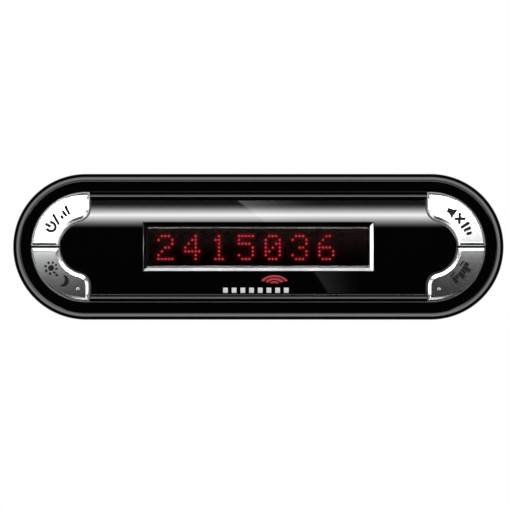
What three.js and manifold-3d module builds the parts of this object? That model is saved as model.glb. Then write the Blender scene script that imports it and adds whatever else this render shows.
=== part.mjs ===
// Display and control head of a remote radar detector, in millimetres, +Z up.
//
// A flat, pill-shaped box that stands on its long lower edge and faces -Y. Everything is drawn in
// a working frame with x to the right, y up and z out of the face, with z = 0 at the back face of
// the rear cover. One group at the end turns that frame upright and centres it over the origin.
import * as THREE from "three";
import { mergeVertices } from "three/addons/utils/BufferGeometryUtils.js";
import Module from "manifold-3d";

const wasm = await Module();
wasm.setup();

// ---- Driving dimensions -------------------------------------------------------------------
// Body
const bodyLength = 98.8;
const bodyHeight = 29.4;
const bodyDepth = 20;
const wall = 1.8;
const rimRoundWidth = 1.5; // rounding of the rim's outer edge, across and into the face
const rimRoundDepth = 2.45;
const backFillet = 2;
const frontHousingDepth = 9.5;

// Fits
const seat = 0.1; // film of glue or air between pieces that lie on each other
const clearance = 0.3; // round pieces that drop into place
const keyGap = 0.25; // round each moving key
const deckKeyGap = 0.2; // round each key where it passes the deck
const slideGap = 0.15; // round each switch plunger

// Lip that lines the two housings up
const lipThickness = 0.75;
const lipHeight = 1.2;
const lipGap = 0.15;

// Front face
const rimWidth = 3.67; // outer edge to the edge of the pocket
const pocketDepth = 2.6;
const deckThickness = 1.5;
const crownFall = 1.842; // from the crown's middle to the faceplate's long edges
const crownBelowRim = 0.2;
const plateMargin = 0.33; // edge of the pocket to the straight edges of the faceplate
const plateEdgeRadius = 1.2;
const ribWidth = 0.5; // thin ridge along each long edge of the faceplate
const ribInset = 0.14; // from the edge of the faceplate
const ribRoof = 0.2; // rise of its sloping sides to the crest
const ribBelowRim = 0.1;

// Window
const windowLength = 46.3;
const windowHeight = 9.73;
const trimWidth = 0.65;
const trimLand = 0.12; // flat edge outside the trim's bevel
const trimProud = 0.05;
const lensThickness = 1.2;
const lensGap = 0.15;

// Keys
const keyBand = 5.12;
const keySideOffset = 0.5; // the straight side, past the end arc's centre towards the middle
const keyCorner = 2.4;
const keySplit = 0.45;
const keyTopBelowRim = 0.35;
const keyCrownRadius = 45;
const keyBevel = 0.45;
const keyTravel = 0.4;
const flangeWidth = 0.8;
const flangeThickness = 0.7;
const flangeDrop = 0.2; // behind the deck at rest
const stemSize = 3;
const stemLength = 0.6;
const stemAngle = Math.PI / 4;
const nibRadius = 0.3;
const nibHeight = 0.12;
const nibAngle = (79 * Math.PI) / 180;
const nibOutward = 0.4; // from the middle of the key band

// Key switches
const switchSize = 4.5;
const switchHeight = 1.6;
const plungerRadius = 1.2;
const plungerSpare = 0.15; // left over the switch with the key pressed right in
const plungerInside = 0.7;
const switchFloor = 0.35;

// Circuit board
const boardThickness = 1.6;
const boardHole = 1.1;
const standoffRadius = 1.9;
const standoffHeight = 9.2; // from the middle line
const standoffInset = 12; // along x from the cover screws

// Screws, by radius and length
const coverBossRadius = 3;
const housingBossRadius = 2.4;
const bossInset = 7.7; // along x from the end arc's centre
const bossWallOverlap = 0.4;
const coverScrew = { shaft: 1.1, head: 1.9, headHeight: 1.5, length: 10 };
const boardScrew = { shaft: 0.9, head: 1.7, headHeight: 1.2, length: 4.6 };
const screwGrip = 5.6; // cover material under each cover screw's head
const pilotGap = 0.05;
const pilotSpare = 0.4;

// Display module
const moduleLength = 43.4;
const moduleHeight = 10.4;
const moduleThickness = 3.6;
const pinsPerRow = 8;
const pinPitch = 5.08;
const pinSize = 0.5;
const pinHole = 1;
const pinInset = 0.9;
const gasketWidth = 1.3;

// Cable jack in the end wall
const jackWidth = 10.2;
const jackHeight = 8.1;
const jackDepth = 12.5;
const jackRecess = 1.4; // its face, in from the end of the body
const socketWidth = 7.8;
const socketHeight = 6.4;
const socketDepth = 10.5;
const contactCount = 4;
const contactPitch = 1.02;
const contactSize = 0.45;
const contactDrop = 1.5;

// Sounder and its slots
const sounderRadius = 6;
const sounderHeight = 4.6;
const sounderPort = 1.2;
const soundRingWidth = 1.6;
const slotCount = 5;
const slotPitch = 1.9;
const slotWidth = 0.9;
const slotLength = 7;

// Parts on the back of the board, with their places along it
const microcontroller = {
  length: 10,
  width: 10,
  height: 1.4,
  leads: 8,
  pitch: 1,
  reach: 1,
  fourSided: true,
};
const displayDriver = { length: 12.8, width: 7.5, height: 2.3, leads: 9, pitch: 1.27, reach: 1.3 };
const regulator = { length: 6.6, width: 6.1, height: 2.3, leads: 2, pitch: 4.6, reach: 1.6 };
const supplyCapacitor = { radius: 3.15, height: 5.4, base: 3.3, baseHeight: 0.8 };
const clockCrystal = { halfSpan: 3.2, radius: 1.9, height: 3.5, flange: 0.3, flangeHeight: 0.6 };
const microcontrollerX = -10;
const displayDriverX = 4.5;
const regulatorX = 17.5;
const capacitorX = 25;
const crystalX = -21;

// Mounting pad on the back
const padHeight = 18;
const padThickness = 1.2;
const padRecess = 0.4;
const padMargin = 1;
const padCorner = 3;

// Facets round each end of the body
const endSegments = 16;

// ---- Levels and places worked out from them --------------------------------------------------
const endRadius = bodyHeight / 2;
const endCentre = bodyLength / 2 - endRadius;
const cavityRadius = endRadius - wall;
const pocketRadius = endRadius - rimWidth;
const keyOuter = pocketRadius - keyGap;
const keyInner = keyOuter - keyBand;
const plateHalfHeight = pocketRadius - plateMargin;
const crownRadius = (plateHalfHeight ** 2 + crownFall ** 2) / (2 * crownFall);
const parting = bodyDepth - frontHousingDepth;
const deckFront = bodyDepth - pocketDepth;
const deckBack = deckFront - deckThickness;
const plateBack = deckFront + seat;
const crownTop = bodyDepth - crownBelowRim;
const lensBack = plateBack + seat;
const lensFront = lensBack + lensThickness;
const keyTop = bodyDepth - keyTopBelowRim;
const flangeFront = deckBack - flangeDrop;
const flangeBack = flangeFront - flangeThickness;
const stemBack = flangeBack - stemLength;
const plungerTop = stemBack - seat;
const switchTop = plungerTop - keyTravel - plungerSpare;
const boardFront = switchTop - switchHeight - seat;
const boardBack = boardFront - boardThickness;
const padProud = padThickness + seat - padRecess;
const bossX = endCentre - bossInset;
const bossY = cavityRadius + bossWallOverlap - coverBossRadius;
const standoffX = bossX - standoffInset;
const boardStandoffs = corners(standoffX, standoffHeight);
const coverBosses = corners(bossX, bossY);
const keyMiddle = (keyOuter + keyInner) / 2;
const keyCornerX = keyCorner - keySideOffset;
const keyCornerY = Math.sqrt((keyInner + keyCorner) ** 2 - keyCornerX ** 2);
const keyCornerAngle = Math.atan2(keyCornerY, keyCornerX);
const jackFront = bodyLength / 2 - jackRecess;
const jackTop = boardBack - seat;
const socketMiddle = jackTop - jackHeight / 2;

// ---- Finishes ----------------------------------------------------------------------------
function finish(color, roughness, metalness) {
  return new THREE.MeshStandardMaterial({ color, roughness, metalness });
}
const glossBlack = finish(0x060607, 0.08, 0);
const mattBlack = finish(0x17171a, 0.55, 0);
const silver = finish(0xc4c6c8, 0.3, 0.7);
const chrome = finish(0xe6e7e8, 0.08, 1);
const smokedRed = finish(0x180304, 0.05, 0);
const displayGrey = finish(0x1c1a1c, 0.5, 0);
const foam = finish(0x202022, 0.95, 0);
const boardGreen = finish(0x0f4a2a, 0.45, 0);
const packageBlack = finish(0x121214, 0.6, 0);
const steel = finish(0x9a9c9e, 0.3, 1);
const gold = finish(0xc9a24a, 0.25, 1);
const switchWhite = finish(0xd8d4c8, 0.5, 0);

// ---- Solids ------------------------------------------------------------------------------
// Four places, one in each quarter.
function corners(x, y) {
  return [
    [-x, -y],
    [x, -y],
    [x, y],
    [-x, y],
  ];
}

function solid(geometry) {
  const bare = geometry.clone();
  bare.deleteAttribute("normal");
  bare.deleteAttribute("uv");
  const merged = mergeVertices(bare, 1e-4);
  return new wasm.Manifold(
    new wasm.Mesh({
      numProp: 3,
      vertProperties: merged.attributes.position.array,
      triVerts: Uint32Array.from(merged.index.array),
    }),
  );
}

function joined(solids) {
  return solids.reduce((all, next) => all.add(next));
}

function cut(body, tools) {
  return tools.reduce((rest, tool) => rest.subtract(tool), body);
}

// An outline drawn out from one depth to another.
function plate(outline, back, front, curveSegments = endSegments) {
  const depth = front - back;
  const geometry = new THREE.ExtrudeGeometry(outline, { depth, bevelEnabled: false, curveSegments });
  return solid(geometry.translate(0, 0, back));
}

// The same, with its front edge rounded inside the outline, so far across and so far back; one
// segment gives a bevel. The rounding that the far end gets as well is sliced off.
function roundedPlate(outline, back, front, across, into, bevelSegments) {
  const geometry = new THREE.ExtrudeGeometry(outline, {
    depth: front - back,
    bevelThickness: into,
    bevelSize: across,
    bevelOffset: -across,
    bevelSegments,
    curveSegments: endSegments,
  });
  const blank = solid(geometry.translate(0, 0, back - into));
  const reach = bodyLength + bodyHeight;
  return blank.subtract(box(-reach, reach, -reach, reach, back - 3 * into, back));
}

function box(x0, x1, y0, y1, z0, z1) {
  const geometry = new THREE.BoxGeometry(x1 - x0, y1 - y0, z1 - z0);
  return solid(geometry.translate((x0 + x1) / 2, (y0 + y1) / 2, (z0 + z1) / 2));
}

function rod(x, y, radius, back, front, segments = 12) {
  const geometry = new THREE.CylinderGeometry(radius, radius, front - back, segments);
  return solid(geometry.rotateX(Math.PI / 2).translate(x, y, (back + front) / 2));
}

// A straight-sided outline with half-round ends.
function stadium(halfSpan, radius) {
  const outline = new THREE.Shape();
  outline.absarc(halfSpan, 0, radius, -Math.PI / 2, Math.PI / 2);
  outline.absarc(-halfSpan, 0, radius, Math.PI / 2, (3 * Math.PI) / 2);
  return outline;
}

function rectangle(width, height) {
  const outline = new THREE.Shape();
  outline.moveTo(-width / 2, -height / 2);
  outline.lineTo(width / 2, -height / 2);
  outline.lineTo(width / 2, height / 2);
  outline.lineTo(-width / 2, height / 2);
  return outline;
}

function roundedRectangle(width, height, radius) {
  const outline = new THREE.Shape();
  const x = width / 2 - radius;
  const y = height / 2 - radius;
  outline.absarc(x, -y, radius, -Math.PI / 2, 0);
  outline.absarc(x, y, radius, 0, Math.PI / 2);
  outline.absarc(-x, y, radius, Math.PI / 2, Math.PI);
  outline.absarc(-x, -y, radius, Math.PI, (3 * Math.PI) / 2);
  return outline;
}

function mirrored(outline, side, level) {
  const points = outline.getPoints(8);
  return new THREE.Shape(points.map((p) => new THREE.Vector2(p.x * side, p.y * level)));
}

// ---- Front face --------------------------------------------------------------------------
// A key's outline: a quarter of a ring round the end arc's centre, with a straight side towards
// the middle of the face. It is drawn for the upper right key, then mirrored.
function keyOutline(side, level, grow, lowEdge) {
  const inner = keyInner - grow;
  const outer = keyOuter + grow;
  const straight = -keySideOffset - grow;
  const outline = new THREE.Shape();
  outline.absarc(endCentre, 0, outer, Math.asin(lowEdge / outer), Math.acos(straight / outer));
  outline.absarc(
    endCentre + keyCornerX,
    keyCornerY,
    keyCorner + grow,
    Math.PI,
    Math.PI + keyCornerAngle,
  );
  outline.absarc(endCentre, 0, inner, keyCornerAngle, Math.asin(lowEdge / inner), true);
  return mirrored(outline, side, level);
}

// Right half of the faceplate's outline: its straight end and the round tongue between the keys.
function plateEnd() {
  const tongue = keyInner - keyGap;
  const corner = keyCorner + keyGap;
  const end = new THREE.Path();
  const x = endCentre - keySideOffset - keyGap;
  end.moveTo(x, -plateHalfHeight);
  end.lineTo(x, -keyCornerY);
  end.absarc(endCentre + keyCornerX, -keyCornerY, corner, Math.PI, Math.PI - keyCornerAngle, true);
  end.absarc(endCentre, 0, tongue, -keyCornerAngle, keyCornerAngle);
  end.absarc(endCentre + keyCornerX, keyCornerY, corner, Math.PI + keyCornerAngle, Math.PI, true);
  end.lineTo(x, plateHalfHeight);
  return end.getPoints(8);
}

function plateOutline() {
  const right = plateEnd();
  const left = right.map((p) => new THREE.Vector2(-p.x, p.y)).reverse();
  return new THREE.Shape([...right, ...left]);
}

// A section drawn across the face, y against z, as a bar along the whole body.
function barAlongBody(section) {
  const geometry = new THREE.ExtrudeGeometry(section, {
    depth: bodyLength,
    bevelEnabled: false,
    curveSegments: 28,
  });
  geometry.translate(0, 0, -bodyLength / 2);
  const turn = new THREE.Matrix4().makeBasis(
    new THREE.Vector3(0, 1, 0),
    new THREE.Vector3(0, 0, 1),
    new THREE.Vector3(1, 0, 0),
  );
  return solid(geometry.applyMatrix4(turn));
}

// Everything behind a crown that curves from top to bottom and runs straight along x.
function crownSpace(radius, top) {
  const half = Math.asin(endRadius / radius);
  const section = new THREE.Shape();
  section.absarc(0, top - radius, radius, Math.PI / 2 - half, Math.PI / 2 + half);
  section.lineTo(-endRadius, 0);
  section.lineTo(endRadius, 0);
  return barAlongBody(section);
}

// The faceplate's section: the crown, with a smaller round that leaves it smoothly on each long
// edge and meets the plate's back at the full half height.
function plateSpace() {
  const crownCentre = crownTop - crownRadius;
  const spread = crownRadius - plateEdgeRadius;
  const rise = plateBack - crownCentre;
  const toEdge = Math.hypot(plateHalfHeight, rise);
  const turned = Math.acos((spread ** 2 + toEdge ** 2 - plateEdgeRadius ** 2) / (2 * spread * toEdge));
  const lean = Math.atan2(plateHalfHeight, rise) - turned;
  const y = spread * Math.sin(lean);
  const z = crownCentre + spread * Math.cos(lean);
  const low = Math.atan2(plateBack - z, plateHalfHeight - y);
  const section = new THREE.Shape();
  section.absarc(y, z, plateEdgeRadius, low, Math.PI / 2 - lean);
  section.absarc(0, crownCentre, crownRadius, Math.PI / 2 - lean, Math.PI / 2 + lean);
  section.absarc(-y, z, plateEdgeRadius, Math.PI / 2 + lean, Math.PI - low);
  section.lineTo(-plateHalfHeight, 0);
  section.lineTo(plateHalfHeight, 0);
  return barAlongBody(section);
}

// The ridge along one long edge, with two sloping sides that meet in a crest just below the rim.
function plateRib(level) {
  const outer = plateHalfHeight - ribInset;
  const inner = outer - ribWidth;
  const crest = bodyDepth - ribBelowRim;
  const section = new THREE.Shape();
  section.moveTo(inner, 0);
  section.lineTo(outer, 0);
  section.lineTo(outer, crest - ribRoof);
  section.lineTo((inner + outer) / 2, crest);
  section.lineTo(inner, crest - ribRoof);
  return barAlongBody(mirrored(section, level, 1));
}

function faceplate() {
  const face = joined([plateSpace(), plateRib(-1), plateRib(1)]);
  const blank = plate(plateOutline(), plateBack, bodyDepth).intersect(face);
  const opening = rectangle(windowLength + 2 * lensGap, windowHeight + 2 * lensGap);
  return cut(blank, [plate(opening, 0, bodyDepth)]);
}

// A thin frame whose face slopes down to the lens.
function windowTrim() {
  const innerLength = windowLength - 2 * trimWidth;
  const innerHeight = windowHeight - 2 * trimWidth;
  const slope = trimWidth - trimLand;
  const blank = plate(rectangle(windowLength, windowHeight), plateBack, bodyDepth);
  const funnel = new THREE.ExtrudeGeometry(rectangle(innerLength, innerHeight), {
    depth: bodyDepth,
    bevelThickness: slope,
    bevelSize: slope,
    bevelSegments: 1,
  });
  funnel.translate(0, 0, lensFront + seat + slope);
  return cut(blank.intersect(crownSpace(crownRadius, crownTop + trimProud)), [
    plate(rectangle(innerLength, innerHeight), 0, bodyDepth),
    solid(funnel),
  ]);
}

function windowLens() {
  const length = windowLength - 2 * trimWidth - 2 * lensGap;
  const height = windowHeight - 2 * trimWidth - 2 * lensGap;
  return plate(rectangle(length, height), lensBack, lensFront);
}

// Head, retaining flange behind the deck, stem over its switch and a small nib to feel for.
function key(side, level) {
  const outline = keyOutline(side, level, 0, keySplit / 2);
  const head = roundedPlate(outline, flangeBack + seat, keyTop, keyBevel, keyBevel, 1);
  const crown = crownSpace(keyCrownRadius, keyTop);
  const flange = plate(keyOutline(side, level, flangeWidth, keySplit / 2), flangeBack, flangeFront);
  const [x, y] = switchPlace(side, level);
  const half = stemSize / 2;
  const stem = box(x - half, x + half, y - half, y + half, stemBack, flangeFront);
  const nibReach = keyMiddle + nibOutward;
  const nibX = side * (endCentre + nibReach * Math.cos(nibAngle));
  const nibY = level * nibReach * Math.sin(nibAngle);
  const nibTop = keyTop - keyCrownRadius + Math.sqrt(keyCrownRadius ** 2 - nibY ** 2) + nibHeight;
  const nib = rod(nibX, nibY, nibRadius, flangeFront, nibTop, 10);
  return joined([head.intersect(crown), flange, stem, nib]);
}

function switchPlace(side, level) {
  return [
    side * (endCentre + keyMiddle * Math.cos(stemAngle)),
    level * keyMiddle * Math.sin(stemAngle),
  ];
}

// ---- Housings ----------------------------------------------------------------------------
function frontHousing() {
  const outline = stadium(endCentre, endRadius);
  const back = parting + seat;
  const blank = roundedPlate(outline, back, bodyDepth, rimRoundWidth, rimRoundDepth, 5);
  const opening = rectangle(windowLength + 2 * lensGap, windowHeight + 2 * lensGap);
  const rebate = cavityRadius + lipThickness + lipGap;
  const keyOpenings = [-1, 1].flatMap((side) =>
    [-1, 1].map((level) => plate(keyOutline(side, level, deckKeyGap, -1), deckBack - 1, deckFront + 1)),
  );
  const shell = cut(blank, [
    plate(stadium(endCentre, cavityRadius), 0, deckBack),
    plate(stadium(endCentre, rebate), 0, back + lipHeight + lipGap),
    plate(stadium(endCentre, pocketRadius), deckFront, bodyDepth + 1),
    plate(opening, 0, bodyDepth),
    ...keyOpenings,
  ]);
  const bosses = coverBosses.map(([x, y]) => rod(x, y, housingBossRadius, back, deckBack + 1));
  const standoffs = boardStandoffs.map(([x, y]) =>
    rod(x, y, standoffRadius, boardFront + seat, deckBack + 1),
  );
  const coverPilots = coverBosses.map(([x, y]) =>
    rod(x, y, coverScrew.shaft + pilotGap, parting, coverScrewBack() + coverScrew.length + pilotSpare),
  );
  const boardPilots = boardStandoffs.map(([x, y]) =>
    rod(x, y, boardScrew.shaft + pilotGap, boardFront, boardScrewBack() + boardScrew.length + pilotSpare),
  );
  return cut(joined([shell, ...bosses, ...standoffs]), [...coverPilots, ...boardPilots]);
}

function rearCover() {
  const outline = stadium(endCentre, endRadius);
  const blank = roundedPlate(outline, -parting, 0, backFillet, backFillet, 4).mirror([0, 0, 1]);
  const lip = plate(stadium(endCentre, cavityRadius + lipThickness), parting - 1, parting + lipHeight);
  const hollow = plate(stadium(endCentre, cavityRadius), wall, bodyDepth);
  const bosses = coverBosses.map(([x, y]) => rod(x, y, coverBossRadius, 1, parting - seat));
  const shell = joined([cut(joined([blank, lip]), [hollow]), ...bosses]);
  const padOutline = roundedRectangle(padLength() + 2 * seat, padHeight + 2 * seat, padCorner);
  return cut(shell, [
    plate(padOutline, -1, padRecess, 5),
    ...coverBosses.map(([x, y]) => rod(x, y, coverScrew.shaft + slideGap, -1, bodyDepth)),
    ...coverBosses.map(([x, y]) => rod(x, y, coverScrew.head + clearance, -1, coverScrewBack())),
    jackNotch(),
    ...soundSlots(),
  ]);
}

// Room for the jack through the end wall, open towards the front housing.
function jackNotch() {
  const half = jackWidth / 2 + clearance;
  return box(endCentre, bodyLength, -half, half, jackTop - jackHeight - clearance, bodyDepth);
}

function soundSlots() {
  return Array.from({ length: slotCount }, (_, i) => {
    const x = -endCentre + (i - (slotCount - 1) / 2) * slotPitch;
    return plate(stadium(slotLength / 2 - slotWidth / 2, slotWidth / 2), -1, wall + 1, 4)
      .rotate([0, 0, 90])
      .translate([x, 0, 0]);
  });
}

function padLength() {
  return 2 * (bossX - coverBossRadius - padMargin);
}

function mountingPad() {
  const outline = roundedRectangle(padLength(), padHeight, padCorner - seat);
  return plate(outline, -padProud, padRecess - seat, 5);
}

// ---- Screws ------------------------------------------------------------------------------
function coverScrewBack() {
  return parting - screwGrip;
}

function boardScrewBack() {
  return boardBack - seat;
}

// A pan-head screw whose shaft runs forward from under its head, with a cross cut in the head.
function screw(size, x, y, underHead) {
  const { shaft, head, headHeight, length } = size;
  const profile = [
    new THREE.Vector2(0, -headHeight),
    new THREE.Vector2(head * 0.7, -headHeight),
    new THREE.Vector2(head, -headHeight * 0.45),
    new THREE.Vector2(head, 0),
    new THREE.Vector2(shaft, 0),
    new THREE.Vector2(shaft, length - shaft),
    new THREE.Vector2(0, length),
  ];
  const body = solid(new THREE.LatheGeometry(profile, 12).rotateX(Math.PI / 2));
  const arm = head * 0.6;
  const half = head * 0.13;
  const floor = -headHeight * 0.45;
  const cross = [
    box(-arm, arm, -half, half, -length, floor),
    box(-half, half, -arm, arm, -length, floor),
  ];
  return cut(body, cross).translate([x, y, underHead - seat]);
}

// ---- Electronics -------------------------------------------------------------------------
function circuitBoard() {
  const blank = plate(stadium(endCentre, cavityRadius - clearance), boardBack, boardFront);
  return cut(blank, [
    ...coverBosses.map(([x, y]) => rod(x, y, housingBossRadius + clearance, 0, bodyDepth)),
    ...boardStandoffs.map(([x, y]) => rod(x, y, boardHole, 0, bodyDepth)),
    ...modulePins(pinHole, 0, bodyDepth),
  ]);
}

function switchBody(x, y) {
  const half = switchSize / 2;
  const back = boardFront + seat;
  const body = box(x - half, x + half, y - half, y + half, back, switchTop);
  return cut(body, [rod(x, y, plungerRadius + slideGap, back + switchFloor, bodyDepth)]);
}

function plunger(x, y) {
  return rod(x, y, plungerRadius, switchTop - plungerInside, plungerTop);
}

// Two rows of square pins, drawn at the size asked for: as pins, or as the holes they pass.
function modulePins(size, back, front) {
  const y = moduleHeight / 2 - pinInset;
  const first = -((pinsPerRow - 1) * pinPitch) / 2;
  const half = size / 2;
  return [-y, y].flatMap((row) =>
    Array.from({ length: pinsPerRow }, (_, i) => {
      const x = first + i * pinPitch;
      return box(x - half, x + half, row - half, row + half, back, front);
    }),
  );
}

// The pins stop short of the board's back face.
function displayModule() {
  const back = boardFront + seat;
  const body = plate(rectangle(moduleLength, moduleHeight), back, back + moduleThickness);
  return joined([body, ...modulePins(pinSize, boardBack + seat, back + seat)]);
}

function displayGasket() {
  const length = windowLength - 2 * trimWidth;
  const height = windowHeight - 2 * trimWidth;
  const back = boardFront + seat + moduleThickness + seat;
  return cut(plate(rectangle(length, height), back, lensBack - seat), [
    plate(rectangle(length - 2 * gasketWidth, height - 2 * gasketWidth), 0, bodyDepth),
  ]);
}

// A package on the board's back, with its leads along two or four sides.
function chip(x, size) {
  const { length, width, height, leads, pitch, reach, fourSided } = size;
  const front = boardBack - seat;
  const back = front - height;
  const body = box(-length / 2, length / 2, -width / 2, width / 2, back, front - seat);
  const half = pitch / 4;
  const offsets = Array.from({ length: leads }, (_, i) => (i - (leads - 1) / 2) * pitch);
  const lead = (s, edge) => box(s - half, s + half, edge - seat, edge + reach, (back + front) / 2, front);
  const row = joined(offsets.map((s) => lead(s, width / 2)));
  const turns = fourSided ? [0, 90, 180, 270] : [0, 180];
  return joined([body, ...turns.map((turn) => row.rotate([0, 0, turn]))]).translate([x, 0, 0]);
}

// A round can on a square base.
function capacitor(x, { radius, height, base, baseHeight }) {
  const front = boardBack - seat;
  const foot = box(x - base, x + base, -base, base, front - baseHeight, front);
  return joined([foot, rod(x, 0, radius, front - height, front - baseHeight / 2, 20)]);
}

// A flat can with half-round ends and a wider foot, standing across the board.
function crystal(x, { halfSpan, radius, height, flange, flangeHeight }) {
  const front = boardBack - seat;
  const can = plate(stadium(halfSpan, radius), front - height, front, 8);
  const foot = plate(stadium(halfSpan, radius + flange), front - flangeHeight, front, 8);
  return joined([can, foot]).rotate([0, 0, 90]).translate([x, 0, 0]);
}

function cableJack() {
  const halfWidth = jackWidth / 2;
  const halfSocket = socketWidth / 2;
  const low = socketMiddle - socketHeight / 2;
  const high = socketMiddle + socketHeight / 2;
  const body = box(
    jackFront - jackDepth,
    jackFront,
    -halfWidth,
    halfWidth,
    jackTop - jackHeight,
    jackTop,
  );
  const socket = box(jackFront - socketDepth, jackFront + 1, -halfSocket, halfSocket, low, high);
  const latch = box(jackFront - 4, jackFront + 1, -1.6, 1.6, low - 0.6, high);
  return cut(body, [socket, latch]);
}

// A bent spring contact that slopes into the socket from its board side.
function jackContact(index) {
  const y = (index - (contactCount - 1) / 2) * contactPitch;
  const high = socketMiddle + socketHeight / 2 - seat;
  const tip = jackFront - 2;
  const root = jackFront - socketDepth + clearance;
  const side = new THREE.Shape();
  side.moveTo(tip, high);
  side.lineTo(root + 2, high - contactDrop + contactSize);
  side.lineTo(root, high - contactDrop + contactSize);
  side.lineTo(root, high - contactDrop);
  side.lineTo(root + 2.2, high - contactDrop);
  side.lineTo(tip, high - contactSize);
  return plate(side, -contactSize / 2, contactSize / 2)
    .rotate([90, 0, 0])
    .translate([0, y, 0]);
}

function sounder() {
  const front = boardBack - seat;
  const can = rod(-endCentre, 0, sounderRadius, front - sounderHeight, front, 28);
  const port = rod(-endCentre, 0, sounderPort, 0, front - sounderHeight + 1, 12);
  return cut(can, [port]);
}

function sounderGasket() {
  const front = boardBack - 2 * seat - sounderHeight;
  const ring = rod(-endCentre, 0, sounderRadius, wall + seat, front, 28);
  return cut(ring, [rod(-endCentre, 0, sounderRadius - soundRingWidth, 0, bodyDepth, 28)]);
}

// ---- Assembly ----------------------------------------------------------------------------
const working = new THREE.Group();
working.rotation.x = Math.PI / 2;
working.position.set(0, (bodyDepth - padProud) / 2, bodyHeight / 2);

function place(name, shape, material) {
  const made = shape.getMesh();
  const indexed = new THREE.BufferGeometry();
  indexed.setAttribute("position", new THREE.BufferAttribute(made.vertProperties, 3));
  indexed.setIndex(new THREE.BufferAttribute(made.triVerts, 1));
  const geometry = indexed.toNonIndexed();
  geometry.computeVertexNormals();
  const mesh = new THREE.Mesh(geometry, material);
  mesh.name = name;
  working.add(mesh);
}

place("front_housing", frontHousing(), glossBlack);
place("faceplate", faceplate(), glossBlack);
place("window_trim", windowTrim(), chrome);
place("window_lens", windowLens(), smokedRed);
place("rear_cover", rearCover(), mattBlack);
place("mounting_pad", mountingPad(), foam);

const keys = [
  ["power_volume", -1, 1],
  ["dark", -1, -1],
  ["quiet", 1, 1],
  ["city", 1, -1],
];
for (const [name, side, level] of keys) {
  const [x, y] = switchPlace(side, level);
  place(`key_${name}`, key(side, level), silver);
  place(`switch_body_${name}`, switchBody(x, y), packageBlack);
  place(`switch_plunger_${name}`, plunger(x, y), switchWhite);
}

place("circuit_board", circuitBoard(), boardGreen);
place("display_module", displayModule(), displayGrey);
place("display_gasket", displayGasket(), foam);
place("microcontroller", chip(microcontrollerX, microcontroller), packageBlack);
place("display_driver_chip", chip(displayDriverX, displayDriver), packageBlack);
place("voltage_regulator", chip(regulatorX, regulator), packageBlack);
place("supply_capacitor", capacitor(capacitorX, supplyCapacitor), steel);
place("clock_crystal", crystal(crystalX, clockCrystal), steel);
place("sounder", sounder(), packageBlack);
place("sounder_gasket", sounderGasket(), foam);
place("cable_jack", cableJack(), mattBlack);
for (let i = 0; i < contactCount; i++) {
  place(`jack_contact_${i + 1}`, jackContact(i), gold);
}
coverBosses.forEach(([x, y], i) => {
  place(`cover_screw_${i + 1}`, screw(coverScrew, x, y, coverScrewBack()), steel);
});
boardStandoffs.forEach(([x, y], i) => {
  place(`board_screw_${i + 1}`, screw(boardScrew, x, y, boardScrewBack()), steel);
});

const part = new THREE.Group();
part.add(working);
export default part;
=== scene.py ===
"""Looks of the radar detector's display and control head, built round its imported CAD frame.

Shapes are drawn in a working frame in millimetres: x along the head, up from its middle line, and
out towards the reader from the rear cover's back face. at() turns that into the shared frame.
"""

import math

import bmesh
import bpy
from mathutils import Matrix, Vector


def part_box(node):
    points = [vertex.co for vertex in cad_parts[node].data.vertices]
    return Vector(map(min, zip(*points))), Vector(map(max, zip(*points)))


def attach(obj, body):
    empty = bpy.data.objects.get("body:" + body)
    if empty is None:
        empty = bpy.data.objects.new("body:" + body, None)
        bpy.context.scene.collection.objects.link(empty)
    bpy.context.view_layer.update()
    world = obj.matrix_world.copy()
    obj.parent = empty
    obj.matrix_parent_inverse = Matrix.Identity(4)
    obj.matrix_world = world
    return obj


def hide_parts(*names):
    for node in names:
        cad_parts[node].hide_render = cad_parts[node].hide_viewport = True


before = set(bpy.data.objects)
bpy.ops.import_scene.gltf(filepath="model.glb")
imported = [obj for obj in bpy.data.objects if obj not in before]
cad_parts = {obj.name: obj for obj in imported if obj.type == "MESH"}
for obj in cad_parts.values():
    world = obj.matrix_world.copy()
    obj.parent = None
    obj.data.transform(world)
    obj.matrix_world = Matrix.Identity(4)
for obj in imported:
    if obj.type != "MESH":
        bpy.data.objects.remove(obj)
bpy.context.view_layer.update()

# ---- Places taken from the frame ----
MM = 0.001
HOUSING_LOW, HOUSING_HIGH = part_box("front_housing")
BACK_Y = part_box("rear_cover")[1].y
MIDDLE_Z = (HOUSING_LOW.z + HOUSING_HIGH.z) / 2
END_RADIUS = (HOUSING_HIGH.z - HOUSING_LOW.z) / 2 / MM
END_CENTRE = (HOUSING_HIGH.x - HOUSING_LOW.x) / 2 / MM - END_RADIUS


def out_of(y):
    return (BACK_Y - y) / MM


def at(x, up, out):
    return Vector((x * MM, BACK_Y - out * MM, MIDDLE_Z + up * MM))


def half_size(node):
    low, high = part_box(node)
    return (high.x - low.x) / 2 / MM, (high.z - low.z) / 2 / MM


FACE = out_of(HOUSING_LOW.y)
HOUSING_BACK = out_of(HOUSING_HIGH.y)
CROWN_TOP = out_of(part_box("faceplate")[0].y)
PLATE_BACK = out_of(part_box("faceplate")[1].y)
PLATE_HALF_HEIGHT = half_size("faceplate")[1]
WINDOW_HALF = half_size("window_trim")
LENS_FRONT = out_of(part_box("window_lens")[0].y)
MODULE_FACE = out_of(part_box("display_module")[0].y)
LIP_FRONT = out_of(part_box("rear_cover")[0].y)

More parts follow.
